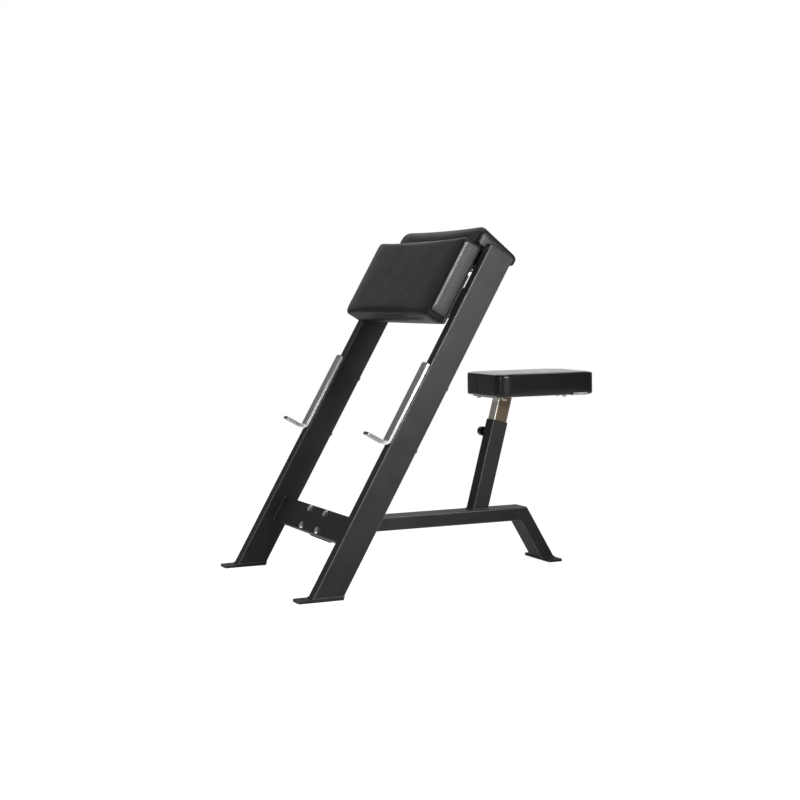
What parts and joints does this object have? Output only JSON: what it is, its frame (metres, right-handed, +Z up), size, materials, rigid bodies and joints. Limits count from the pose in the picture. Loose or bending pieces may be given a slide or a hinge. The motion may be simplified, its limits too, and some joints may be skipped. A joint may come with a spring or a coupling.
{
  "type": "preacher curl bench",
  "caption": "Preacher curl bench with leaning columns, bar rests, an upright arm pad, a top pad and a seat whose height is set by a pull pin.",
  "frame": {"origin": "on the floor, under the middle of the bench's overall box", "axes": "+Z up, +X to the rear where the seat is, -X to the front with the bar rests, +Y to the right hand of a person on the seat"},
  "size_m": [1.0576, 0.69, 1.013],
  "materials": {
    "powder_coat": "satin",
    "black_plastic": "matte",
    "knob_plastic": "satin",
    "brushed_bar": "satin",
    "stainless": "satin",
    "bright_steel": "satin",
    "black_steel": "satin",
    "backing_rubber": "matte",
    "plywood": "matte",
    "vinyl": "satin"
  },
  "bodies": {
    "frame": {"column_left": "powder_coat", "column_right": "powder_coat", "foot_plate_left": "powder_coat", "foot_plate_right": "powder_coat", "cross_tube": "powder_coat", "spine_flange": "powder_coat", "spine_beam": "powder_coat", "rear_leg": "powder_coat", "rear_foot_plate": "powder_coat", "seat_sleeve": "powder_coat", "arm_pad_tube": "powder_coat", "top_pad_tube": "powder_coat", "arm_pad_plate": "powder_coat", "column_cap_left": "black_plastic", "column_cap_right": "black_plastic", "sleeve_bush": "black_plastic", "bar_rest_left": "brushed_bar", "bar_rest_right": "brushed_bar", "lock_housing": "bright_steel", "lock_spring": "bright_steel", "spine_bolts": "bright_steel", "spine_washers": "bright_steel", "spine_nuts": "bright_steel", "arm_pad_bolts": "bright_steel", "top_pad_bolts": "bright_steel", "rest_bolts": "black_steel", "rest_washers": "black_steel", "rest_backing_left": "backing_rubber", "rest_backing_right": "backing_rubber", "arm_pad_board": "plywood", "top_pad_board": "plywood", "arm_pad_cushion": "vinyl", "top_pad_cushion": "vinyl"},
    "seat": {"seat_post": "stainless", "post_plug": "black_plastic", "seat_plate": "stainless", "seat_strap": "stainless", "seat_board": "plywood", "seat_cushion": "vinyl", "seat_bolts": "bright_steel"},
    "pin": {"lock_pin": "bright_steel", "lock_knob": "knob_plastic"}
  },
  "joints": [
    {"name": "seat_slide", "type": "slide", "parent": "frame", "child": "seat", "axis": [0.2588, 0, 0.9659], "range_m": [-0.06, 0.09]},
    {"name": "pin_slide", "type": "slide", "parent": "frame", "child": "pin", "axis": [0, 1, 0], "range_m": [-0.01, 0]}
  ]
}
